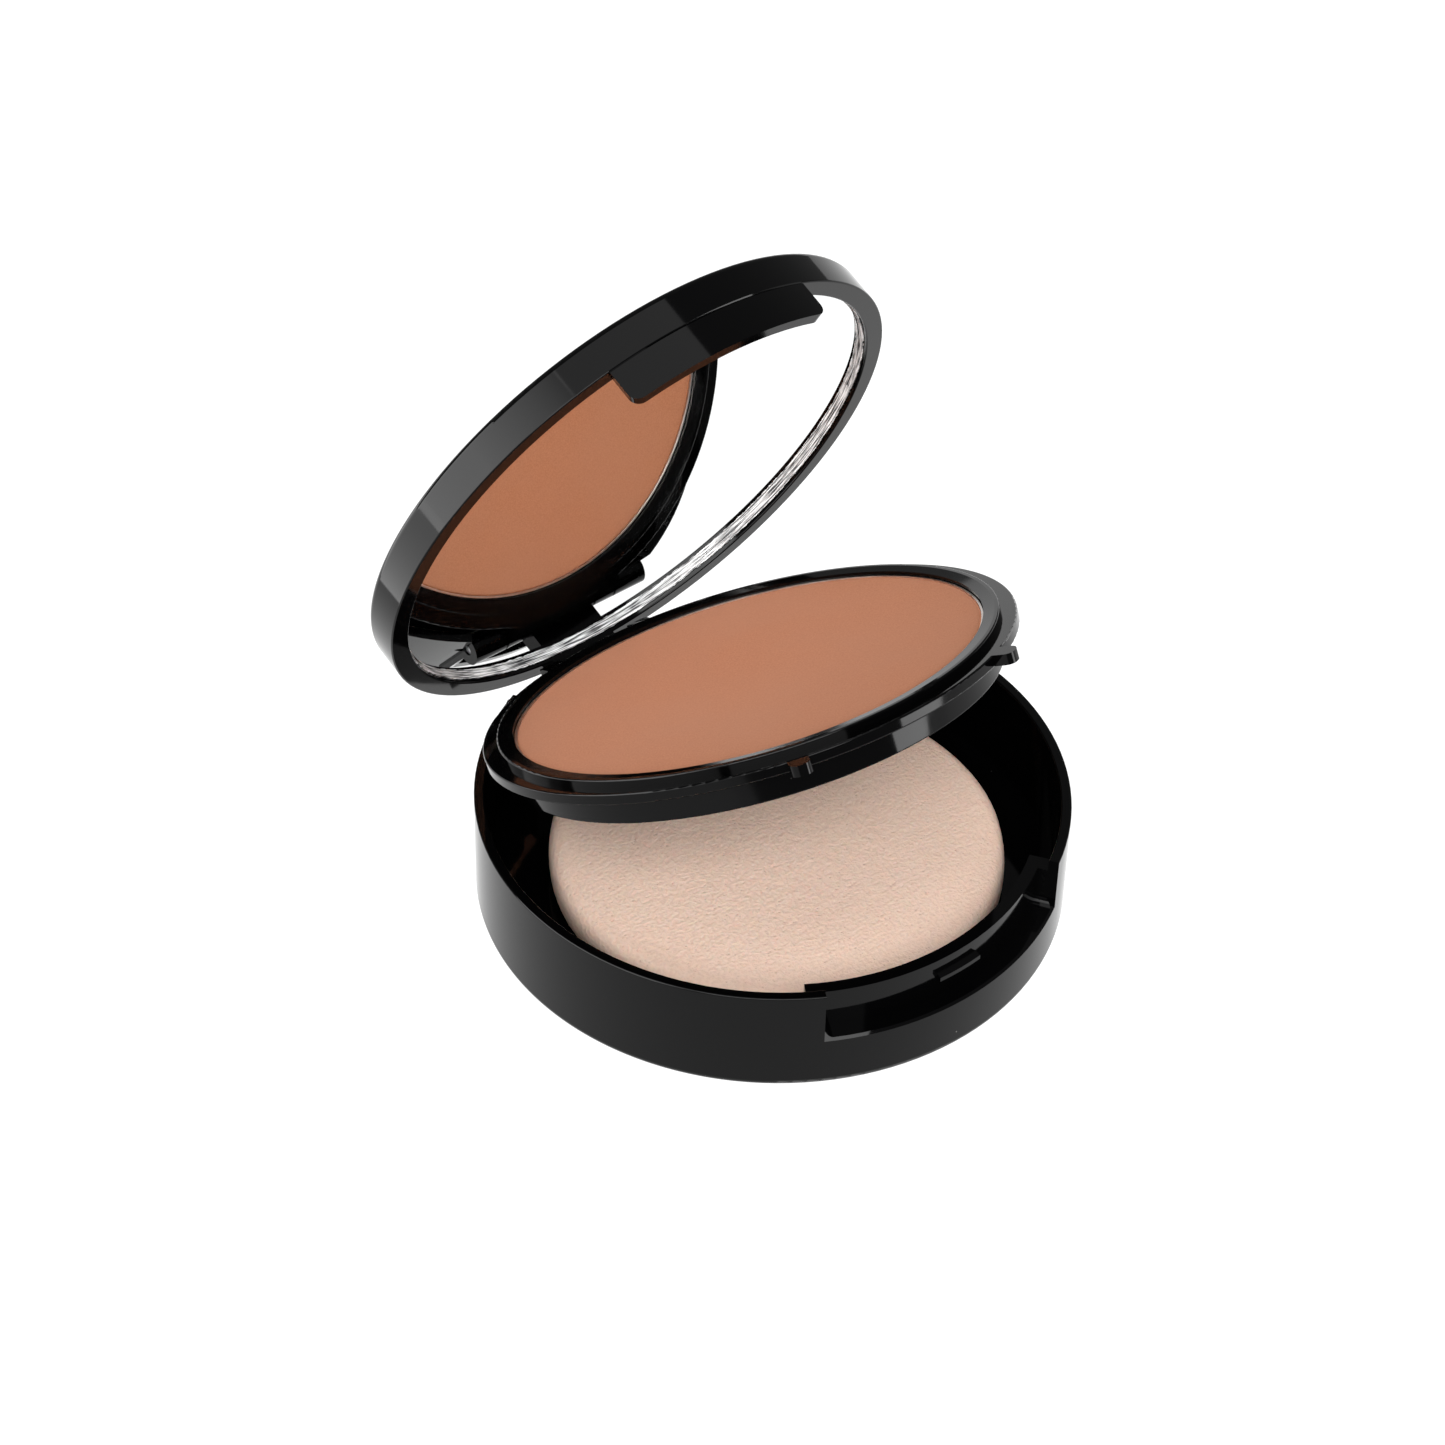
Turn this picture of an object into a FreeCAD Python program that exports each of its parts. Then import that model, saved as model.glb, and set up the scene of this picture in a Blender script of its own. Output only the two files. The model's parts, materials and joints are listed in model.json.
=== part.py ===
import FreeCAD, Part
import math
import os
import re
import Sketcher

# Round powder compact: a gloss plastic base that holds a sponge, a swing-up tray that
# holds a pan of pressed powder, and a lid with a mirror. One steel pin hinges all three.
#
# Millimetres. +Z is up, the thumb recess faces -Y and the hinge pin lies along X at the
# back. The origin is the centre of the base's flat underside. Every sub-part is drawn
# with the compact shut, and its Placement then swings it open about the hinge pin.

DIMENSIONS = {
    # base
    "base_radius": 37.0,
    "base_height": 14.8,
    "base_wall": 1.3,
    "base_floor": 1.4,
    "foot_round": 1.2,
    "edge_round": 0.2,
    # thumb recess and catch at the front of the base
    "recess_half_angle": 30.2,
    "recess_floor": 7.7,
    "recess_back_radius": 34.4,
    "recess_back_wall": 1.6,
    "recess_back_height": 13.1,
    "recess_flank_angle": 33.5,
    "recess_corner": 1.2,
    "lip_bevel": 0.3,
    "nib_reach": 0.8,
    "nib_bottom": 10.0,
    "nib_height": 1.2,
    "nib_half_angle": 5.2,
    # hinge
    "hinge_back": 34.4,
    "hinge_height": 10.8,
    "barrel_radius": 2.1,
    "pin_radius": 0.75,
    "bore_radius": 0.8,
    "lid_knuckle_end": 5.3,
    "tray_knuckle_start": 5.6,
    "tray_knuckle_width": 3.0,
    "boss_start": 8.9,
    "boss_end": 13.8,
    "hinge_gap_half_angle": 23.2,
    "pin_end": 13.5,
    "seat_front": 30.2,
    "seat_wall": 1.2,
    "seat_wall_height": 9.2,
    "seat_floor": 5.5,
    "ledge_height": 3.2,
    "boss_back": 35.0,
    # lid
    "lid_plane": 14.95,
    "lid_height": 5.1,
    "lid_inner_radius": 34.5,
    "lid_round": 0.9,
    "tab_half_angle": 23.0,
    "tab_inner_radius": 35.5,
    "tab_length": 5.0,
    "tab_corner": 1.5,
    "crease": 0.15,
    "lid_web_angle": 8.2,
    # mirror
    "mirror_depth": 1.35,
    "mirror_radius": 34.3,
    "mirror_thickness": 1.5,
    "mirror_bevel": 0.15,
    "tape_radius": 32.0,
    "tape_thickness": 0.35,
    # tray
    "flange_radius": 33.8,
    "flange_top": 14.75,
    "flange_thickness": 1.4,
    "ring_radius": 31.8,
    "ring_height": 0.9,
    "ring_crest": 0.6,
    "ring_fall": 0.2,
    "cup_radius": 31.0,
    "cup_bottom": 9.6,
    "cup_floor": 1.0,
    "pocket_radius": 29.75,
    "lug_angle": 27.2,
    "lug_reach": 36.2,
    "lug_width": 2.6,
    "lug_round": 1.1,
    "arm_front": 30.4,
    # powder pan and powder
    "dot_radius": 4.0,
    "dot_circle": 17.0,
    "dot_thickness": 0.3,
    "pan_radius": 29.65,
    "pan_wall": 0.25,
    "pan_height": 4.05,
    "powder_top": 4.0,
    "powder_edge": 0.2,
    # sponge
    "sponge_radius": 28.7,
    "sponge_height": 6.2,
    "sponge_round": 2.4,
    "sponge_gap": 0.1,
    "sponge_right": 0.3,
    "sponge_front": 0.8,
    # how far the two hinged bodies stand open at rest
    "tray_open": 26.58,
    "lid_open": 69.74,
}
DOT_COUNT = 4
TOLERANCE = 0.01

doc = FreeCAD.newDocument("powder_compact")
sheet = doc.addObject("Spreadsheet::Sheet", "Dims")
for row, (alias, size) in enumerate(DIMENSIONS.items(), start=1):
    sheet.set(f"A{row}", alias)
    sheet.set(f"B{row}", str(size))
    sheet.setAlias(f"B{row}", alias)
doc.recompute()


def linked(formula):
    """The formula with its names written as cells of the sheet."""
    return re.sub(r"[a-z]\w+", r"Dims.\g<0>", formula)


def value(formula):
    """The present value of a formula, for a first drawing that the sheet then drives."""
    return float(sheet.evalExpression(formula))


def new_body(label):
    body = doc.addObject("PartDesign::Body", label)
    body.Label = label
    return body


def new_sketch(body, name, plane, offset="0"):
    """An empty sketch on one of the body's own origin planes, moved along its normal."""
    sketch = body.newObject("Sketcher::SketchObject", name)
    support = next(f for f in body.Origin.OriginFeatures if f.Role == plane)
    sketch.AttachmentSupport = [(support, "")]
    sketch.MapMode = "FlatFace"
    sketch.setExpression("AttachmentOffset.Base.z", linked(offset))
    return sketch


def fix_point(sketch, geometry, place, across, upward):
    """Tie a sketch point to two sheet formulas, or to an axis where a formula is 0."""
    for kind, axis, formula in (("DistanceX", -2, across), ("DistanceY", -1, upward)):
        if formula == "0":
            sketch.addConstraint(Sketcher.Constraint("PointOnObject", geometry, place, axis))
        else:
            number = sketch.addConstraint(
                Sketcher.Constraint(kind, -1, 1, geometry, place, value(formula)))
            sketch.setExpression(f"Constraints[{number}]", linked(formula))


def outline(body, name, plane, corners, offset="0"):
    """A closed straight-sided outline; each corner is a pair of sheet formulas."""
    sketch = new_sketch(body, name, plane, offset)
    points = [FreeCAD.Vector(value(across), value(upward), 0) for across, upward in corners]
    following = points[1:] + points[:1]
    for start, end in zip(points, following):
        sketch.addGeometry(Part.LineSegment(start, end), False)
    for index in range(len(points)):
        after = (index + 1) % len(points)
        sketch.addConstraint(Sketcher.Constraint("Coincident", index, 2, after, 1))
    for index, (across, upward) in enumerate(corners):
        fix_point(sketch, index, 1, across, upward)
    return sketch


def circle(body, name, plane, across, upward, radius):
    sketch = new_sketch(body, name, plane)
    centre = FreeCAD.Vector(value(across), value(upward), 0)
    sketch.addGeometry(Part.Circle(centre, FreeCAD.Vector(0, 0, 1), value(radius)), False)
    fix_point(sketch, 0, 3, across, upward)
    number = sketch.addConstraint(Sketcher.Constraint("Radius", 0, value(radius)))
    sketch.setExpression(f"Constraints[{number}]", linked(radius))
    return sketch


def feature(body, kind, name, sketch, **settings):
    """Add a sketched feature, and make sure that it changed the solid the right way."""
    volume = body.Shape.Volume if body.Tip else 0.0
    item = body.newObject(kind, name)
    item.Profile = sketch
    for setting, content in settings.items():
        if isinstance(content, str) and setting in ("Length", "Angle"):
            item.setExpression(setting, linked(content))
        else:
            setattr(item, setting, content)
    doc.recompute()
    removes = kind in ("PartDesign::Pocket", "PartDesign::Groove")
    change = body.Shape.Volume - volume
    if (change > -TOLERANCE) if removes else (change < TOLERANCE):
        raise RuntimeError(f"{body.Label}: {name} changed the volume by {change:.3f}")
    return item


def turned(body, name, corners, angle=None, cut=False):
    """Material or a cut turned about Z. With an angle it is centred on the outline's side."""
    sketch = outline(body, f"{name}_outline", "YZ_Plane", corners)
    kind = "PartDesign::Groove" if cut else "PartDesign::Revolution"
    spread = {"Angle": angle, "Midplane": True} if angle else {"Angle": 360.0}
    return feature(body, kind, name, sketch, ReferenceAxis=(sketch, ["V_Axis"]), **spread)


def box_corners(x_low, x_high, y_low, y_high):
    return [(x_low, y_low), (x_high, y_low), (x_high, y_high), (x_low, y_high)]


def block(body, name, half_width, back, top, cut=False):
    """A block across X, given by its Y span and its Z span, added or cut away."""
    sketch = outline(body, f"{name}_outline", "YZ_Plane", box_corners(*back, *top))
    kind = "PartDesign::Pocket" if cut else "PartDesign::Pad"
    return feature(body, kind, name, sketch, Length=f"2 * {half_width}", SideType="Symmetric")


def barrel(body, name, half_width):
    sketch = circle(body, f"{name}_outline", "YZ_Plane", "hinge_back", "hinge_height", "barrel_radius")
    return feature(body, "PartDesign::Pad", name, sketch, Length=f"2 * {half_width}",
                   SideType="Symmetric")


def bore(body, name, radius):
    """The hole for the hinge pin, right through the body's knuckles."""
    sketch = circle(body, f"{name}_outline", "YZ_Plane", "hinge_back", "hinge_height", radius)
    return feature(body, "PartDesign::Pocket", name, sketch, Length="4 * boss_end",
                   SideType="Symmetric")


def blend_edges(body, kind, name, size, chosen):
    """Round or bevel the edges of the body that a test picks out."""
    doc.recompute()
    edges = [f"Edge{number}" for number, edge in enumerate(body.Shape.Edges, start=1) if chosen(edge)]
    if not edges:
        raise RuntimeError(f"{body.Label}: no edges for {name}")
    base = body.Tip
    item = body.newObject(kind, name)
    item.Base = (base, edges)
    item.setExpression("Size" if kind.endswith("Chamfer") else "Radius", linked(size))
    doc.recompute()
    if not item.isValid():
        raise RuntimeError(f"{body.Label}: {name} failed")
    return item


def ring_edge(radius, height):
    """A test for a circular edge about Z with this radius and height."""
    def chosen(edge):
        curve = edge.Curve
        return (isinstance(curve, Part.Circle)
                and abs(curve.Radius - value(radius)) < TOLERANCE
                and abs(curve.Center.z - value(height)) < TOLERANCE
                and math.hypot(curve.Center.x, curve.Center.y) < TOLERANCE)
    return chosen


def corner_edge(half_angle, height):
    """A test for the radial edges at both ends of a feature centred on the -Y side."""
    def chosen(edge):
        if len(edge.Vertexes) != 2:
            return False
        ends = [vertex.Point for vertex in edge.Vertexes]
        angles = [math.degrees(math.atan2(end.x, -end.y)) for end in ends]
        return (all(abs(end.z - value(height)) < TOLERANCE for end in ends)
                and all(abs(abs(angle) - value(half_angle)) < TOLERANCE for angle in angles)
                and abs(angles[0] - angles[1]) < TOLERANCE)
    return chosen


def base_tub():
    """Moulded lower case: a round tub, thumb recess and catch in front, hinge seat behind."""
    body = new_body("base_tub")
    turned(body, "tub", [
        ("0", "0"), ("base_radius", "0"), ("base_radius", "base_height"),
        ("base_radius - base_wall", "base_height"), ("base_radius - base_wall", "base_floor"),
        ("0", "base_floor")])
    blend_edges(body, "PartDesign::Fillet", "foot_edge", "foot_round", ring_edge("base_radius", "0"))
    outer = ring_edge("base_radius", "base_height")
    inner = ring_edge("base_radius - base_wall", "base_height")
    blend_edges(body, "PartDesign::Fillet", "rim_edges", "edge_round",
                lambda edge: outer(edge) or inner(edge))
    turned(body, "recess_backing", [
        ("edge_round - base_radius", "base_floor / 2"),
        ("recess_back_wall - recess_back_radius", "base_floor / 2"),
        ("recess_back_wall - recess_back_radius", "recess_back_height"),
        ("edge_round - base_radius", "recess_back_height")],
        angle="2 * recess_flank_angle")
    turned(body, "recess", [
        ("-recess_back_radius", "recess_floor"), ("-recess_back_radius", "base_height + 1"),
        ("-base_radius - 1", "base_height + 1"), ("-base_radius - 1", "recess_floor")],
        angle="2 * recess_half_angle", cut=True)
    blend_edges(body, "PartDesign::Chamfer", "recess_lip", "lip_bevel",
                ring_edge("base_radius", "recess_floor"))
    blend_edges(body, "PartDesign::Fillet", "recess_corners", "recess_corner",
                corner_edge("recess_half_angle", "recess_floor"))
    turned(body, "catch_nib", [
        ("edge_round - recess_back_radius", "nib_bottom"),
        ("-recess_back_radius - nib_reach", "nib_bottom + nib_height / 4"),
        ("-recess_back_radius - nib_reach", "nib_bottom + 3 * nib_height / 4"),
        ("edge_round - recess_back_radius", "nib_bottom + nib_height")],
        angle="2 * nib_half_angle")
    block(body, "hinge_seat", "boss_end", ("seat_front", "boss_back"),
          ("base_floor / 2", "hinge_height"))
    turned(body, "hinge_clearance", box_corners(
        "seat_front - 1", "base_radius + 1", "hinge_height", "base_height + 1"),
        angle="2 * hinge_gap_half_angle", cut=True)
    block(body, "back_clearance", "boss_end", ("boss_back", "base_radius + 1"),
          ("ledge_height", "base_height + 1"), cut=True)
    barrel(body, "bosses", "boss_end")
    block(body, "knuckle_seat", "boss_start", ("seat_front + seat_wall", "base_radius + 1"),
          ("seat_floor", "base_height + 1"), cut=True)
    block(body, "tray_clearance", "boss_start", ("seat_front - 1", "base_radius + 1"),
          ("seat_wall_height", "base_height + 1"), cut=True)
    bore(body, "pin_hole", "pin_radius")
    return body


def hinge_pin():
    """Plain steel pin pressed into the bosses of the base."""
    body = new_body("hinge_pin")
    sketch = circle(body, "pin_outline", "YZ_Plane", "hinge_back", "hinge_height", "pin_radius")
    feature(body, "PartDesign::Pad", "pin", sketch, Length="2 * pin_end", SideType="Symmetric")
    return body


def sponge_puff():
    """Round sponge that lies loose on the floor of the base."""
    body = new_body("sponge_puff")
    turned(body, "foam", [
        ("0", "0"), ("sponge_radius", "0"), ("sponge_radius", "sponge_height"),
        ("0", "sponge_height")])
    low = ring_edge("sponge_radius", "0")
    high = ring_edge("sponge_radius", "sponge_height")
    blend_edges(body, "PartDesign::Fillet", "foam_edges", "sponge_round",
                lambda edge: low(edge) or high(edge))
    for axis, formula in (("x", "sponge_right"), ("y", "-sponge_front"),
                          ("z", "base_floor + sponge_gap")):
        body.setExpression(f"Placement.Base.{axis}", linked(formula))
    return body


def tray_frame():
    """Moulded tray: a flanged cup with a raised ring, two lift lugs and two hinge knuckles."""
    body = new_body("tray_frame")
    turned(body, "cup", [
        ("0", "cup_bottom"), ("cup_radius", "cup_bottom"),
        ("cup_radius", "flange_top - flange_thickness"),
        ("flange_radius", "flange_top - flange_thickness"), ("flange_radius", "flange_top"),
        ("ring_radius", "flange_top"), ("ring_radius", "flange_top + ring_height"),
        ("ring_radius - ring_crest", "flange_top + ring_height"),
        ("pocket_radius", "flange_top + ring_height - ring_fall"),
        ("pocket_radius", "cup_bottom + cup_floor"), ("0", "cup_bottom + cup_floor")])
    rings = [ring_edge("flange_radius", "flange_top"),
             ring_edge("flange_radius", "flange_top - flange_thickness"),
             ring_edge("ring_radius", "flange_top + ring_height"),
             ring_edge("cup_radius", "cup_bottom")]
    blend_edges(body, "PartDesign::Fillet", "soft_edges", "edge_round",
                lambda edge: any(test(edge) for test in rings))
    for side, sign in (("right", ""), ("left", "-")):
        sketch = outline(body, f"lug_{side}_outline", "XY_Plane", [
            ("-lug_width / 2", "-lug_reach"), ("lug_width / 2", "-lug_reach"),
            ("lug_width / 2", "-ring_radius"), ("-lug_width / 2", "-ring_radius")],
            offset="flange_top - flange_thickness")
        sketch.setExpression("AttachmentOffset.Rotation.Axis.z", "1")
        sketch.setExpression("AttachmentOffset.Rotation.Angle", linked(f"{sign}lug_angle"))
        feature(body, "PartDesign::Pad", f"lug_{side}", sketch, Length="flange_thickness")
    reach = math.hypot(value("lug_reach"), value("lug_width") / 2)
    blend_edges(body, "PartDesign::Fillet", "lug_tips", "lug_round",
                lambda edge: all(abs(math.hypot(v.Point.x, v.Point.y) - reach) < TOLERANCE
                                 for v in edge.Vertexes) and abs(edge.tangentAt(0).z) > 0.9)
    arms = []
    for name, shape in (("knuckle", circle(body, "knuckle_outline", "YZ_Plane", "hinge_back",
                                           "hinge_height", "barrel_radius")),
                        ("arm", outline(body, "arm_outline", "YZ_Plane", box_corners(
                            "arm_front", "hinge_back", "hinge_height", "flange_top")))):
        shape.setExpression("AttachmentOffset.Base.z", linked("tray_knuckle_start"))
        arms.append(feature(body, "PartDesign::Pad", name, shape, Length="tray_knuckle_width"))
    pair = body.newObject("PartDesign::Mirrored", "both_knuckles")
    pair.Originals = arms
    pair.MirrorPlane = (next(f for f in body.Origin.OriginFeatures if f.Role == "YZ_Plane"), [""])
    body.Tip = pair
    doc.recompute()
    bore(body, "pin_hole", "bore_radius")
    return body


def pan_glue_dots():
    """Spots of glue, one group, that hold the pan on the floor of the tray."""
    spots = []
    for number in range(DOT_COUNT):
        spot = doc.addObject("Part::Cylinder", f"glue_spot_{number}")
        turn = 360 / DOT_COUNT * (number + 0.5)
        spot.setExpression("Radius", linked("dot_radius"))
        spot.setExpression("Height", linked("dot_thickness"))
        for axis, wave in (("x", math.cos(math.radians(turn))), ("y", math.sin(math.radians(turn)))):
            spot.setExpression(f"Placement.Base.{axis}", f"{linked('dot_circle')} * {wave:.6f}")
        spot.setExpression("Placement.Base.z", linked("cup_bottom + cup_floor"))
        spots.append(spot)
    group = doc.addObject("Part::Compound", "pan_glue_dots")
    group.Label = "pan_glue_dots"
    group.Links = spots
    return group


PAN_BOTTOM = "cup_bottom + cup_floor + dot_thickness"


def powder_pan():
    """Shallow round pan pressed from thin tinplate."""
    body = new_body("powder_pan")
    turned(body, "pan", [
        ("0", PAN_BOTTOM), ("pan_radius", PAN_BOTTOM), ("pan_radius", f"{PAN_BOTTOM} + pan_height"),
        ("pan_radius - pan_wall", f"{PAN_BOTTOM} + pan_height"),
        ("pan_radius - pan_wall", f"{PAN_BOTTOM} + pan_wall"), ("0", f"{PAN_BOTTOM} + pan_wall")])
    return body


def powder_cake():
    """Pressed powder that fills the pan, with a small bevel round its top."""
    body = new_body("powder_cake")
    radius = "pan_radius - pan_wall"
    turned(body, "powder", [
        ("0", f"{PAN_BOTTOM} + pan_wall"), (radius, f"{PAN_BOTTOM} + pan_wall"),
        (radius, f"{PAN_BOTTOM} + powder_top - powder_edge"),
        (f"{radius} - powder_edge", f"{PAN_BOTTOM} + powder_top"),
        ("0", f"{PAN_BOTTOM} + powder_top")])
    return body


def lid_shell():
    """Moulded lid: a round shallow dish, a front tab and the middle knuckle of the hinge."""
    body = new_body("lid_shell")
    ceiling = "lid_plane + mirror_depth + mirror_thickness + tape_thickness"
    turned(body, "dish", [
        ("0", ceiling), ("lid_inner_radius", ceiling), ("lid_inner_radius", "lid_plane"),
        ("base_radius", "lid_plane"), ("base_radius", "lid_plane + lid_height"),
        ("0", "lid_plane + lid_height")])
    blend_edges(body, "PartDesign::Fillet", "top_edge", "lid_round",
                ring_edge("base_radius", "lid_plane + lid_height"))
    rings = [ring_edge("base_radius", "lid_plane"), ring_edge("lid_inner_radius", "lid_plane")]
    blend_edges(body, "PartDesign::Fillet", "rim_edges", "edge_round",
                lambda edge: any(test(edge) for test in rings))
    turned(body, "tab", [
        ("-base_radius", "lid_plane - tab_length"), ("-tab_inner_radius", "lid_plane - tab_length"),
        ("-tab_inner_radius", "lid_plane + 2 * edge_round"),
        ("-base_radius", "lid_plane + 2 * edge_round")],
        angle="2 * tab_half_angle")
    blend_edges(body, "PartDesign::Fillet", "tab_corners", "tab_corner",
                corner_edge("tab_half_angle", "lid_plane - tab_length"))
    turned(body, "tab_crease", [
        ("crease - base_radius", "lid_plane"), ("-base_radius - crease", "lid_plane + 2 * crease"),
        ("-base_radius - crease", "lid_plane - 2 * crease")],
        angle="2 * tab_half_angle", cut=True)
    sketch = outline(body, "web_outline", "YZ_Plane", box_corners(
        "lid_inner_radius", "base_radius", "hinge_height", "lid_plane + 2 * edge_round"))
    feature(body, "PartDesign::Revolution", "hinge_web", sketch, Angle="2 * lid_web_angle",
            Midplane=True, ReferenceAxis=(sketch, ["V_Axis"]))
    barrel(body, "knuckle", "lid_knuckle_end")
    bore(body, "pin_hole", "bore_radius")
    return body


def mirror_glass():
    """Round glass mirror with a ground edge."""
    body = new_body("mirror_glass")
    face = "lid_plane + mirror_depth"
    turned(body, "glass", [
        ("0", face), ("mirror_radius - mirror_bevel", face), ("mirror_radius", f"{face} + mirror_bevel"),
        ("mirror_radius", f"{face} + mirror_thickness"), ("0", f"{face} + mirror_thickness")])
    return body


def mirror_tape():
    """Disc of double-sided tape between the mirror and the lid."""
    disc = doc.addObject("Part::Cylinder", "mirror_tape")
    disc.Label = "mirror_tape"
    disc.setExpression("Radius", linked("tape_radius"))
    disc.setExpression("Height", linked("tape_thickness"))
    disc.setExpression("Placement.Base.z", linked("lid_plane + mirror_depth + mirror_thickness"))
    return disc


def swing_open(item, angle):
    """Turn a sub-part about the hinge pin, front edge upward, from the shut position."""
    pivot = FreeCAD.Vector(0, value("hinge_back"), value("hinge_height"))
    turn = FreeCAD.Rotation(FreeCAD.Vector(-1, 0, 0), value(angle))
    item.Placement = FreeCAD.Placement(FreeCAD.Vector(), turn, pivot).multiply(item.Placement)


on_base = [base_tub(), hinge_pin(), sponge_puff()]
on_tray = [tray_frame(), pan_glue_dots(), powder_pan(), powder_cake()]
on_lid = [lid_shell(), mirror_glass(), mirror_tape()]
doc.recompute()
for part in on_tray:
    swing_open(part, "tray_open")
for part in on_lid:
    if part.TypeId == "Part::Cylinder":
        part.setExpression("Placement.Base.z", None)
    swing_open(part, "lid_open")
doc.recompute()

failed = [o.Label for o in doc.Objects if {"Invalid", "Error"} & set(o.State)]
if failed:
    raise RuntimeError(f"failed objects: {failed}")
os.makedirs("parts", exist_ok=True)
for part in on_base + on_tray + on_lid:
    if part.Shape.isNull() or not part.Shape.isValid():
        raise RuntimeError(f"{part.Label} has no valid shape")
    part.Shape.exportStep(f"parts/{part.Label}.step")
    print(f"{part.Label}: {part.Shape.Volume:.1f} mm3, {len(part.Shape.Solids)} solid(s)")
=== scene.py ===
import json
import math

import bmesh
import bpy
from mathutils import Matrix, Vector, noise


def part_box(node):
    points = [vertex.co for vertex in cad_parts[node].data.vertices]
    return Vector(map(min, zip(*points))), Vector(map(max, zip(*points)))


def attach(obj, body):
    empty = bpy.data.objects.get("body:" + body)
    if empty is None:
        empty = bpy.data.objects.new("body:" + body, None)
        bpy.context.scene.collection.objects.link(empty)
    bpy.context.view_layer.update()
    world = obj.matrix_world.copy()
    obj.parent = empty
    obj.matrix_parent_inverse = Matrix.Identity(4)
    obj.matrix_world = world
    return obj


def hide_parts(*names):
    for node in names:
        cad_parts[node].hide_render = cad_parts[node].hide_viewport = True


# A round powder compact stands open on a white table: the base with its sponge, the
# swing-up tray of pressed powder, and the mirrored lid. Metres, in the frame's own axes.

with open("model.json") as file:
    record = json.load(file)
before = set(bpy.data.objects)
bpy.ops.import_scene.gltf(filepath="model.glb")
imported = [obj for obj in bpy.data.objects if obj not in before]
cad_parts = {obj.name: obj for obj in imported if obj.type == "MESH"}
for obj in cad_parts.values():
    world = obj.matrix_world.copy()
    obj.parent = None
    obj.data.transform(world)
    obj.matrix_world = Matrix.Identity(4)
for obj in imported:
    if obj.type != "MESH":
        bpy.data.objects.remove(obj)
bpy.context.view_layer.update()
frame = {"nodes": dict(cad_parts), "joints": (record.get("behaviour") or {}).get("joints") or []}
scene = bpy.context.scene
MM = 0.001


# Base tub: injection-moulded ABS, polished in the mould to a piano-black gloss.
# The floor, wall, thumb recess, catch nib and hinge bosses are one moulding, so its
# shape is the frame's own and only the surface is finished here.

def new_material(name):
    """An empty node material: its node tree and its Principled shader."""
    material = bpy.data.materials.new(name)
    material.use_nodes = True
    shader = material.node_tree.nodes["Principled BSDF"]
    return material, material.node_tree, shader


def node(tree, kind, inputs=None, **settings):
    """Add a node; inputs are given by socket name, as a value or as a socket to link."""
    item = tree.nodes.new(kind)
    for setting, content in settings.items():
        setattr(item, setting, content)
    for socket, content in (inputs or {}).items():
        if isinstance(content, bpy.types.NodeSocket):
            tree.links.new(content, item.inputs[socket])
        else:
            item.inputs[socket].default_value = content
    return item


def grain(tree, scale, detail=3.0, stretch=(1, 1, 1)):
    """Noise fixed to the piece, at so many cycles to the metre."""
    place = node(tree, "ShaderNodeTexCoord").outputs["Object"]
    placed = node(tree, "ShaderNodeMapping", {"Vector": place, "Scale": stretch})
    return node(tree, "ShaderNodeTexNoise",
                {"Vector": placed.outputs[0], "Scale": scale, "Detail": detail}).outputs["Fac"]


def spread(tree, factor, low, high, start=0.0, end=1.0):
    """Map a factor between start and end onto low to high."""
    return node(tree, "ShaderNodeMapRange", {
        "Value": factor, "From Min": start, "From Max": end,
        "To Min": low, "To Max": high}).outputs["Result"]


def raise_surface(tree, shader, height, distance, strength):
    """Bump a finish by a height from 0 to 1, at most so many metres deep."""
    bump = node(tree, "ShaderNodeBump", {
        "Height": height, "Distance": distance, "Strength": strength})
    tree.links.new(bump.outputs[0], shader.inputs["Normal"])


def piano_black(name):
    """Polished black ABS: a hint of orange peel, wiped haze and a few specks of dust."""
    material, tree, shader = new_material(name)
    shader.inputs["IOR"].default_value = 1.5
    shader.inputs["Specular IOR Level"].default_value = 0.125
    haze = grain(tree, 420, 3)
    tree.links.new(spread(tree, haze, 0.05, 0.075, 0.3, 0.7), shader.inputs["Roughness"])
    dust = node(tree, "ShaderNodeTexVoronoi", {
        "Vector": node(tree, "ShaderNodeTexCoord").outputs["Object"], "Scale": 260})
    speck = spread(tree, dust.outputs["Distance"], 1.0, 0.0, 0.02, 0.035)
    rare = spread(tree, grain(tree, 90, 1), 0.0, 1.0, 0.62, 0.66)
    amount = node(tree, "ShaderNodeMath", {0: speck, 1: rare}, operation="MULTIPLY").outputs[0]
    colour = node(tree, "ShaderNodeMix", {
        "Factor": amount, "A": (0.0008, 0.0008, 0.0009, 1), "B": (0.12, 0.115, 0.11, 1)},
        data_type="RGBA")
    tree.links.new(colour.outputs["Result"], shader.inputs["Base Color"])
    raise_surface(tree, shader, grain(tree, 300, 2), 2e-6, 0.4)
    return material


def finish_node(name, material, sharp=32):
    """Give a CAD node its material, smooth over its rounds and crisp at its corners."""
    piece = frame["nodes"][name]
    piece.data.materials.clear()
    piece.data.materials.append(material)
    piece.data.shade_smooth()
    piece.data.set_sharp_from_angle(angle=math.radians(sharp))
    return piece


finish_node("base_tub", piano_black("base_black"))


# Hinge pin: 1.5 mm drawn steel wire, cut off and pressed through the bosses of the base.
# Drawing leaves fine lines along it.

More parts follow.
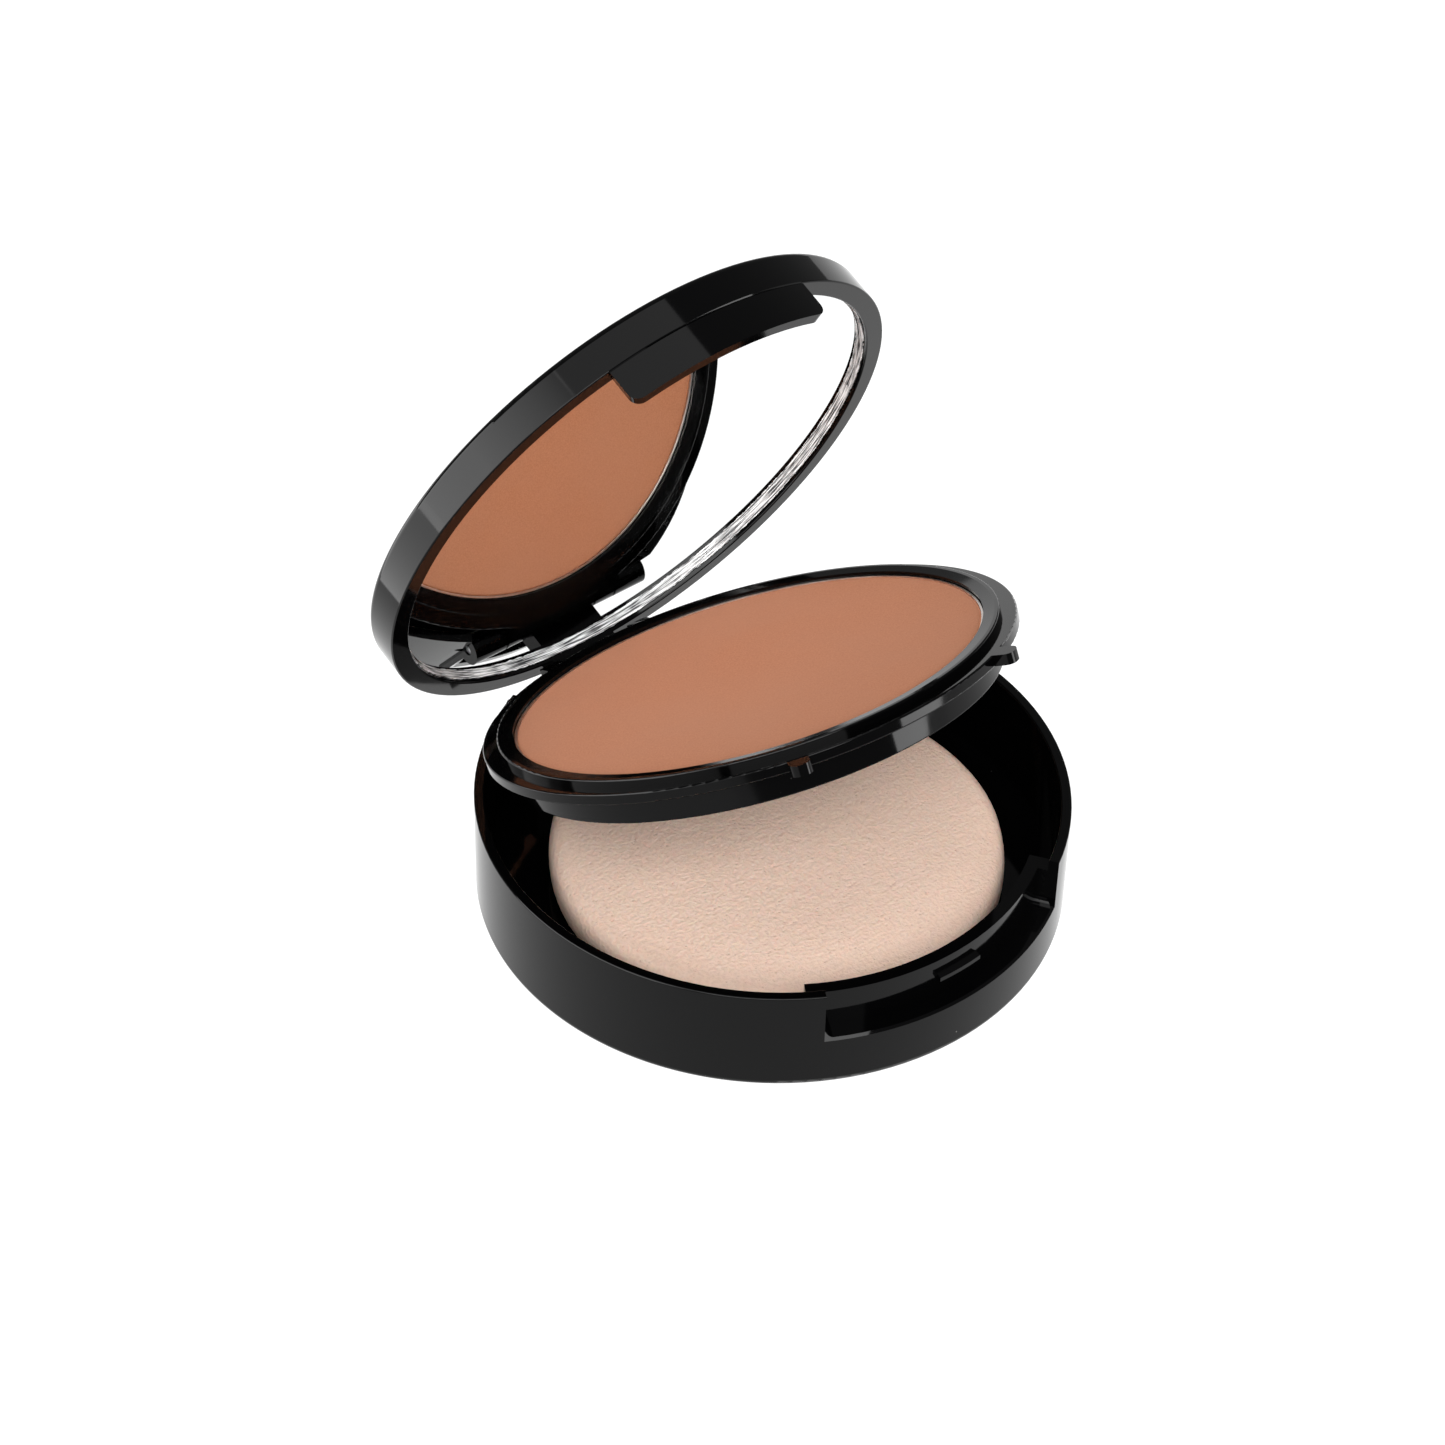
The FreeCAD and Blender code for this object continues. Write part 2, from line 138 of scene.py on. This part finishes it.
def drawn_steel(name):
    """Bright steel with fine lines drawn along the wire."""
    material, tree, shader = new_material(name)
    shader.inputs["Metallic"].default_value = 1.0
    lines = grain(tree, 5000, 2, (0.02, 1, 1))
    tint = node(tree, "ShaderNodeValToRGB", {"Fac": lines})
    tint.color_ramp.elements[0].color = (0.35, 0.35, 0.36, 1)
    tint.color_ramp.elements[1].color = (0.68, 0.68, 0.7, 1)
    tree.links.new(tint.outputs[0], shader.inputs["Base Color"])
    tree.links.new(spread(tree, lines, 0.2, 0.42), shader.inputs["Roughness"])
    raise_surface(tree, shader, lines, 4e-6, 0.4)
    return material


finish_node("hinge_pin", drawn_steel("pin_steel"))


# Sponge puff: a loose disc die-cut from fine-celled latex foam, pressed a little rounder
# at its edge than in its crown. It lies on the floor of the base.

SPONGE_RINGS = 96
SPONGE_SPOKES = 256
SPONGE_EDGE_STEPS = 24
SPONGE_EDGE = 2.4 * MM
SPONGE_EDGE_FULLNESS = 0.75
SPONGE_EDGE_REACH = 0.8
FOAM_CROWN = 0.5 * MM
FOAM_WAVE = 0.12 * MM
FOAM_WAVE_FREQUENCY = 90
FOAM_CELL = 0.035 * MM
FOAM_CELL_FREQUENCY = 1500


def disc_shell(name, rings, spokes):
    """A closed round piece from rings of (radius, height); its first and last are poles."""
    mesh = bmesh.new()
    loops = []
    for radius, height in rings:
        if radius == 0:
            loops.append([mesh.verts.new((0, 0, height))])
        else:
            loops.append([mesh.verts.new((radius * math.cos(turn), radius * math.sin(turn), height))
                          for turn in (math.tau * k / spokes for k in range(spokes))])
    for lower, upper in zip(loops, loops[1:]):
        for k in range(spokes):
            after = (k + 1) % spokes
            corners = [lower[k % len(lower)], lower[after % len(lower)],
                       upper[after % len(upper)], upper[k % len(upper)]]
            mesh.faces.new(list(dict.fromkeys(corners)))
    bmesh.ops.recalc_face_normals(mesh, faces=mesh.faces)
    data = bpy.data.meshes.new(name)
    mesh.to_mesh(data)
    mesh.free()
    data.shade_smooth()
    piece = bpy.data.objects.new(name, data)
    scene.collection.objects.link(piece)
    return piece


def sponge_profile(radius, low, high):
    """Half section from the underside's centre round the edge to the crown's centre."""
    flat = radius - SPONGE_EDGE
    under = [(flat * k / SPONGE_RINGS, low) for k in range(SPONGE_RINGS)]
    middle = (low + high - FOAM_CROWN) / 2
    half = (high - FOAM_CROWN - low) / 2
    edge = [(flat, low)]
    for k in range(1, SPONGE_EDGE_STEPS):
        turn = math.pi * (k / SPONGE_EDGE_STEPS - 0.5)
        bulge = math.copysign(abs(math.sin(turn)) ** SPONGE_EDGE_FULLNESS, turn)
        reach = math.cos(turn) ** SPONGE_EDGE_REACH
        edge.append((flat + SPONGE_EDGE * reach, middle + half * bulge))
    edge.append((flat, high - FOAM_CROWN))
    crown = []
    for k in range(SPONGE_RINGS - 1, -1, -1):
        out = k / SPONGE_RINGS
        crown.append((flat * out, high - FOAM_CROWN * out ** 3))
    return under + edge + crown


def foam(name):
    """Fine open foam: warm beige, a soft tooth all over and small scattered open pores, with painted
    shade that darkens the colour where the surface is lower.
    """
    material, tree, shader = new_material(name)
    place = node(tree, "ShaderNodeTexCoord").outputs["Object"]
    cells = node(tree, "ShaderNodeTexVoronoi", {"Vector": place, "Scale": 1500})
    pit = spread(tree, cells.outputs["Distance"], 0.0, 1.0, 0.06, 0.26)
    closed = spread(tree, grain(tree, 520, 2), 0.0, 1.0, 0.42, 0.56)
    skin = node(tree, "ShaderNodeMath", {0: pit, 1: closed}, operation="MAXIMUM").outputs[0]
    tooth = grain(tree, 2200, 5)
    worn = grain(tree, 45, 3)
    height = node(tree, "ShaderNodeMath", {0: skin, 1: spread(tree, tooth, 0, 1.6, 0.2, 0.8)},
                  operation="ADD").outputs[0]
    # Painted shade: the colour follows the bump height, darker in the open pores and the low points
    # of the tooth.
    tint = node(tree, "ShaderNodeValToRGB", {"Fac": spread(tree, height, 0, 1, 0.4, 2.1)})
    tint.color_ramp.elements[0].color = (0.66, 0.455, 0.355, 1)
    tint.color_ramp.elements[1].color = (0.85, 0.625, 0.50, 1)
    blotch = node(tree, "ShaderNodeMix", {
        "Factor": spread(tree, worn, 0.15, 0.5, 0.4, 0.7), "A": tint.outputs[0],
        "B": (0.79, 0.57, 0.46, 1)}, data_type="RGBA")
    tree.links.new(blotch.outputs["Result"], shader.inputs["Base Color"])
    shader.inputs["Roughness"].default_value = 0.93
    shader.inputs["Specular IOR Level"].default_value = 0.2
    shader.inputs["Subsurface Weight"].default_value = 0.15
    shader.inputs["Subsurface Scale"].default_value = 0.4 * MM
    raise_surface(tree, shader, height, 9e-5, 0.7)
    return material


near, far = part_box("sponge_puff")
sponge_radius = (far.x - near.x) / 2
sponge_centre = (near + far) / 2
sponge = disc_shell("sponge", sponge_profile(sponge_radius, near.z, far.z), SPONGE_SPOKES)
facing = [vertex.normal.copy() for vertex in sponge.data.vertices]
for vertex, normal in zip(sponge.data.vertices, facing):
    wave = noise.noise(vertex.co * FOAM_WAVE_FREQUENCY)
    cell = noise.noise(vertex.co * FOAM_CELL_FREQUENCY)
    vertex.co += normal * (FOAM_WAVE * (wave - 0.6) + FOAM_CELL * (cell - 1))
sponge.data.transform(Matrix.Translation((sponge_centre.x, sponge_centre.y, 0)))
sponge.data.materials.append(foam("sponge_foam"))
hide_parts("sponge_puff")
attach(sponge, "base")


# Tray frame: the second gloss moulding, a cup with a raised ring and two lift lugs.
# It swings on the hinge pin and covers the sponge when it is down.

finish_node("tray_frame", piano_black("tray_black"))


# Pan and glue: a godet pressed from 0.25 mm tinplate, stuck down by four spots of
# hot-melt glue. Only its thin rim shows round the powder.

def tinplate(name):
    """Rolled tin-coated steel, warm where it picks up the powder's dust."""
    material, tree, shader = new_material(name)
    shader.inputs["Metallic"].default_value = 1.0
    rolled = grain(tree, 1800, 3, (1, 0.06, 1))
    tint = node(tree, "ShaderNodeValToRGB", {"Fac": rolled})
    tint.color_ramp.elements[0].color = (0.62, 0.55, 0.5, 1)
    tint.color_ramp.elements[1].color = (0.85, 0.8, 0.76, 1)
    tree.links.new(tint.outputs[0], shader.inputs["Base Color"])
    tree.links.new(spread(tree, rolled, 0.22, 0.4), shader.inputs["Roughness"])
    raise_surface(tree, shader, rolled, 5e-6, 0.4)
    return material


def hot_glue(name):
    """Cloudy amber hot-melt."""
    material, tree, shader = new_material(name)
    cloud = grain(tree, 500, 3)
    tint = node(tree, "ShaderNodeValToRGB", {"Fac": cloud})
    tint.color_ramp.elements[0].color = (0.62, 0.55, 0.38, 1)
    tint.color_ramp.elements[1].color = (0.8, 0.75, 0.6, 1)
    tree.links.new(tint.outputs[0], shader.inputs["Base Color"])
    tree.links.new(spread(tree, cloud, 0.25, 0.5), shader.inputs["Roughness"])
    raise_surface(tree, shader, cloud, 3e-5, 0.5)
    return material


finish_node("powder_pan", tinplate("pan_tinplate"))
finish_node("pan_glue_dots", hot_glue("pan_glue"))


# Pressed powder: loose pigment and talc pressed hard into the pan through a cloth, so
# its face is dead matt, faintly dimpled, and broken into crumbs along its edge.

POWDER_RINGS = 150
POWDER_SPOKES = 360
POWDER_LIP_STEPS = 6
POWDER_EDGE = 0.35 * MM
POWDER_DOME = 0.12 * MM
POWDER_RIPPLE = 0.02 * MM
RIPPLE_FREQUENCY = 240
CLOTH_FREQUENCY = 900
CRUMB = 0.05 * MM
CRUMB_FREQUENCY = 1400
CRUMB_START = 0.975


def pressed_powder(name):
    """Matt tan powder: very fine grain and a faint cloudy tone."""
    material, tree, shader = new_material(name)
    fine = grain(tree, 5200, 3)
    cloud = grain(tree, 55, 4)
    tint = node(tree, "ShaderNodeValToRGB", {"Fac": spread(tree, fine, 0, 1, 0.3, 0.7)})
    tint.color_ramp.elements[0].color = (0.425, 0.16, 0.077, 1)
    tint.color_ramp.elements[1].color = (0.515, 0.207, 0.104, 1)
    cloudy = node(tree, "ShaderNodeMix", {
        "Factor": spread(tree, cloud, 0.0, 0.5, 0.35, 0.7), "A": tint.outputs[0],
        "B": (0.455, 0.2, 0.112, 1)}, data_type="RGBA")
    tree.links.new(cloudy.outputs["Result"], shader.inputs["Base Color"])
    shader.inputs["Roughness"].default_value = 0.95
    shader.inputs["Specular IOR Level"].default_value = 0.12
    shader.inputs["Sheen Weight"].default_value = 0.06
    raise_surface(tree, shader, fine, 1.2e-5, 0.35)
    return material


def open_place(*hinges):
    """Shut coordinates to their place now, opened by these hinges, which share one pin."""
    joints = [joint for joint in frame["joints"] if joint["name"] in hinges]
    pivot = Vector(joints[0]["pos_m"])
    opened = math.radians(-sum(joint["range_deg"][0] for joint in joints))
    turn = Matrix.Rotation(opened, 4, Vector(joints[0]["axis"]))
    return Matrix.Translation(pivot) @ turn @ Matrix.Translation(-pivot)


def powder_profile(radius, low, high):
    """Half section from the underside's centre, up the side and over a small round lip."""
    flat = radius - POWDER_EDGE
    lip = []
    for k in range(POWDER_LIP_STEPS, 0, -1):
        turn = math.pi / 2 * k / POWDER_LIP_STEPS
        lip.append((flat + POWDER_EDGE * math.sin(turn), high - POWDER_EDGE * (1 - math.cos(turn))))
    top = [(flat * k / POWDER_RINGS, high) for k in range(POWDER_RINGS, -1, -1)]
    return [(0, low), (radius, low)] + lip + top


tray_now = open_place("tray_hinge")
shut = [tray_now.inverted() @ vertex.co for vertex in frame["nodes"]["powder_cake"].data.vertices]
powder_radius = max(math.hypot(point.x, point.y) for point in shut)
powder_low = min(point.z for point in shut)
powder_high = max(point.z for point in shut)
powder_section = powder_profile(powder_radius, powder_low, powder_high)
powder = disc_shell("powder", powder_section, POWDER_SPOKES)
for vertex in powder.data.vertices:
    if vertex.co.z > powder_high - POWDER_EDGE * 1.01:
        out = math.hypot(vertex.co.x, vertex.co.y) / powder_radius
        press = noise.noise(vertex.co * RIPPLE_FREQUENCY)
        press += 0.5 * noise.noise(vertex.co * CLOTH_FREQUENCY)
        rim = max(0.0, out - CRUMB_START) / (1 - CRUMB_START)
        crumbs = rim * max(0.0, noise.noise(vertex.co * CRUMB_FREQUENCY))
        vertex.co.z += POWDER_DOME * (1 - out ** 6) + POWDER_RIPPLE * press - CRUMB * crumbs
powder.data.transform(tray_now)
powder.data.materials.append(pressed_powder("powder_tan"))
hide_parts("powder_cake")
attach(powder, "tray")


# Lid shell: the third gloss moulding, a shallow dish of the same polished ABS. The front
# tab and the middle hinge knuckle are moulded with it, and the hinge pin holds it.

finish_node("lid_shell", piano_black("lid_black"))


# Mirror: 1.5 mm float glass, silvered behind, stuck into the lid by a disc of double-sided
# foam tape. Its scored and snapped edge stands bright and streaky against the black wall.

EDGE_HEIGHT = 0.75 * MM
EDGE_DEPTH = 0.3 * MM
EDGE_THICK = 0.12 * MM
EDGE_GAP = 0.03 * MM
EDGE_CHIP = 0.12 * MM
EDGE_STEPS = 1440


def silvered_glass(name):
    """Mirror silver, with the faintest smear of fingerprints."""
    material, tree, shader = new_material(name)
    shader.inputs["Metallic"].default_value = 1.0
    smear = grain(tree, 70, 5, (1, 1, 0.5))
    tint = node(tree, "ShaderNodeValToRGB", {"Fac": smear})
    tint.color_ramp.elements[0].color = (0.89, 0.9, 0.9, 1)
    tint.color_ramp.elements[1].color = (0.93, 0.935, 0.93, 1)
    tree.links.new(tint.outputs[0], shader.inputs["Base Color"])
    tree.links.new(spread(tree, smear, 0.0, 0.03, 0.5, 0.75), shader.inputs["Roughness"])
    return material


def tape_film(name):
    """White foam tape."""
    material, tree, shader = new_material(name)
    weave = grain(tree, 2400, 2)
    tint = node(tree, "ShaderNodeValToRGB", {"Fac": weave})
    tint.color_ramp.elements[0].color = (0.6, 0.6, 0.57, 1)
    tint.color_ramp.elements[1].color = (0.78, 0.78, 0.75, 1)
    tree.links.new(tint.outputs[0], shader.inputs["Base Color"])
    shader.inputs["Roughness"].default_value = 0.6
    raise_surface(tree, shader, weave, 2e-5, 0.4)
    return material


def snapped_edge(name):
    """Clear and frosted streaks that run along the cut, as the scoring wheel left them."""
    material, tree, shader = new_material(name)
    strip = node(tree, "ShaderNodeUVMap", uv_map="strip").outputs[0]
    drawn = node(tree, "ShaderNodeMapping", {"Vector": strip, "Scale": (230, 6000, 1)})
    streak = node(tree, "ShaderNodeTexNoise", {
        "Vector": drawn.outputs[0], "Scale": 1.0, "Detail": 3, "Distortion": 0.2}).outputs["Fac"]
    tint = node(tree, "ShaderNodeValToRGB", {"Fac": spread(tree, streak, 0, 1, 0.42, 0.6)})
    tint.color_ramp.elements[0].color = (0.02, 0.02, 0.022, 1)
    tint.color_ramp.elements[1].color = (0.9, 0.9, 0.9, 1)
    tree.links.new(tint.outputs[0], shader.inputs["Base Color"])
    tree.links.new(spread(tree, streak, 0.5, 0.15), shader.inputs["Roughness"])
    raise_surface(tree, shader, streak, 3e-5, 0.6)
    return material


def edge_ring(name, radius, front):
    """The edge as a thin upright ring round the glass, unrolled along its strip map."""
    mesh = bmesh.new()
    strip = mesh.loops.layers.uv.new("strip")
    section = [(radius, front + EDGE_DEPTH), (radius, front - EDGE_HEIGHT),
               (radius + EDGE_THICK, front - EDGE_HEIGHT), (radius + EDGE_THICK, front + EDGE_DEPTH)]
    loops = []
    for k in range(EDGE_STEPS):
        turn = math.tau * k / EDGE_STEPS
        round_it = Vector((math.cos(turn), math.sin(turn), 0))
        chip = EDGE_CHIP * (noise.noise(round_it * 40) + 0.6 * noise.noise(round_it * 150))
        corners = []
        for out, height in section:
            lift = chip if height < front else 0.0
            corners.append(mesh.verts.new(round_it * out + Vector((0, 0, height + lift))))
        loops.append(corners)
    for k, here in enumerate(loops):
        there = loops[(k + 1) % EDGE_STEPS]
        for side in range(4):
            after = (side + 1) % 4
            face = mesh.faces.new((here[side], there[side], there[after], here[after]))
            along = (k, k + 1, k + 1, k)
            for corner, step in zip(face.loops, along):
                corner[strip].uv = (step * math.tau * radius / EDGE_STEPS, corner.vert.co.z)
    bmesh.ops.recalc_face_normals(mesh, faces=mesh.faces)
    data = bpy.data.meshes.new(name)
    mesh.to_mesh(data)
    mesh.free()
    ring = bpy.data.objects.new(name, data)
    scene.collection.objects.link(ring)
    return ring


finish_node("mirror_glass", silvered_glass("mirror_silver"))
finish_node("mirror_tape", tape_film("mirror_tape_film"))
lid_now = open_place("tray_hinge", "lid_hinge")
glass = [lid_now.inverted() @ vertex.co for vertex in frame["nodes"]["mirror_glass"].data.vertices]
glass_radius = max(math.hypot(point.x, point.y) for point in glass)
glass_front = min(point.z for point in glass)
edge = edge_ring("mirror_edge", glass_radius + EDGE_GAP, glass_front)
edge.data.transform(lid_now)
edge.data.materials.append(snapped_edge("mirror_edge_glass"))
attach(edge, "lid")


# Table top: a wide, flat sheet of matt white card that the compact stands on. It is lit
# from behind, so that it glows an even white.

CARD_HALF = 3.0


def white_card(name):
    """Matt card with the light coming through it."""
    material, tree, shader = new_material(name)
    fibre = grain(tree, 900, 2)
    tint = node(tree, "ShaderNodeValToRGB", {"Fac": fibre})
    tint.color_ramp.elements[0].color = (0.10, 0.10, 0.10, 1)
    tint.color_ramp.elements[1].color = (0.12, 0.12, 0.12, 1)
    tree.links.new(tint.outputs[0], shader.inputs["Base Color"])
    shader.inputs["Roughness"].default_value = 0.9
    shader.inputs["Specular IOR Level"].default_value = 0.1
    shader.inputs["Emission Color"].default_value = (1, 1, 1, 1)
    shader.inputs["Emission Strength"].default_value = 1.08
    return material


card_data = bpy.data.meshes.new("card")
card_data.from_pydata([(-CARD_HALF, -CARD_HALF, 0), (CARD_HALF, -CARD_HALF, 0),
                       (CARD_HALF, CARD_HALF, 0), (-CARD_HALF, CARD_HALF, 0)], [], [(0, 1, 2, 3)])
card_data.materials.append(white_card("card_white"))
card = bpy.data.objects.new("card", card_data)
scene.collection.objects.link(card)


# Light: a dim white tent, a tall key box on the left that fades towards its top, a box
# overhead, a glowing sheet lying on the left, a narrow strip low on the right, and a fill
# above the front.

TENT_LEVEL = 0.25
BOX_AIM = Vector((0, 0, 0.03))


def light_tent(level):
    """Even white light from all round."""
    world = bpy.data.worlds.new("tent")
    scene.world = world
    world.use_nodes = True
    cloth = world.node_tree.nodes["Background"]
    cloth.inputs["Color"].default_value = (1, 1, 1, 1)
    cloth.inputs["Strength"].default_value = level


def soft_box(name, turn, height, distance, size, glow):
    """A rectangular box light, turn degrees round from the back and height degrees up."""
    data = bpy.data.lights.new(name, "AREA")
    data.shape = "RECTANGLE"
    data.size, data.size_y = size
    data.energy = glow * math.pi * data.size * data.size_y
    lamp = bpy.data.objects.new(name, data)
    around = math.radians(turn)
    up = math.radians(height)
    lamp.location = BOX_AIM + distance * Vector((
        math.sin(around) * math.cos(up), math.cos(around) * math.cos(up), math.sin(up)))
    lamp.rotation_euler = (BOX_AIM - lamp.location).to_track_quat("-Z", "Y").to_euler()
    lamp.visible_camera = False
    scene.collection.objects.link(lamp)
    return lamp


def fade(lamp, side, start, end, level):
    """Dim a box from start to end of its width or height, 0 to 1, down to a level."""
    lamp.data.use_nodes = True
    tree = lamp.data.node_tree
    across = node(tree, "ShaderNodeSeparateXYZ", {
        "Vector": node(tree, "ShaderNodeNewGeometry").outputs["Parametric"]}).outputs[side]
    dimmed = spread(tree, across, 1.0, level, start, end)
    tree.links.new(dimmed, tree.nodes["Emission"].inputs["Strength"])


light_tent(TENT_LEVEL)
key = soft_box("key_left", -76, 30, 0.62, (0.74, 0.82), 9.5)
fade(key, "Y", 0.45, 1.0, 0.25)
key.visible_diffuse = False
overhead = soft_box("overhead", 0, 90, 0.72, (0.6, 0.36), 1.8)
overhead.location.x = -0.06
sheet = soft_box("low_left", 0, 0, 0, (0.54, 0.4), 3.4)
sheet.location = (-0.345, 0.255, 0.003)
sheet.rotation_euler = (math.pi, 0, 0)
sheet.visible_diffuse = False
soft_box("strip_right", 146, 6, 0.5, (0.22, 0.09), 11)
soft_box("fill_front", -147, 42, 0.8, (0.7, 0.4), 9.5)


# Camera: a short telephoto lens on a stand, above and to the left of the front, and rolled
# slightly. Its place is given from the middle of the base's underside.

CAMERA_AZIMUTH = math.radians(-40.48)
CAMERA_HEIGHT = math.radians(41.11)
CAMERA_ROLL = math.radians(1.545)
CAMERA_DISTANCE = 512.7 * MM
CAMERA_RIGHT = -5.95 * MM
CAMERA_UP = 19.24 * MM
CAMERA_LENS = 101.2
SENSOR_WIDTH = 36
NEAREST = 10 * MM

back = Vector((math.sin(CAMERA_AZIMUTH) * math.cos(CAMERA_HEIGHT),
               -math.cos(CAMERA_AZIMUTH) * math.cos(CAMERA_HEIGHT), math.sin(CAMERA_HEIGHT)))
level = Vector((math.cos(CAMERA_AZIMUTH), math.sin(CAMERA_AZIMUTH), 0))
upright = back.cross(level)
right = math.cos(CAMERA_ROLL) * level + math.sin(CAMERA_ROLL) * upright
up = math.cos(CAMERA_ROLL) * upright - math.sin(CAMERA_ROLL) * level
lens = bpy.data.cameras.new("camera")
lens.lens = CAMERA_LENS
lens.sensor_width = SENSOR_WIDTH
lens.clip_start = NEAREST
camera = bpy.data.objects.new("camera", lens)
axes = Matrix((right, up, back)).transposed().to_4x4()
place = back * CAMERA_DISTANCE + right * CAMERA_RIGHT + up * CAMERA_UP
camera.matrix_world = Matrix.Translation(place) @ axes
scene.collection.objects.link(camera)
scene.camera = camera
scene.view_settings.view_transform = "Standard"
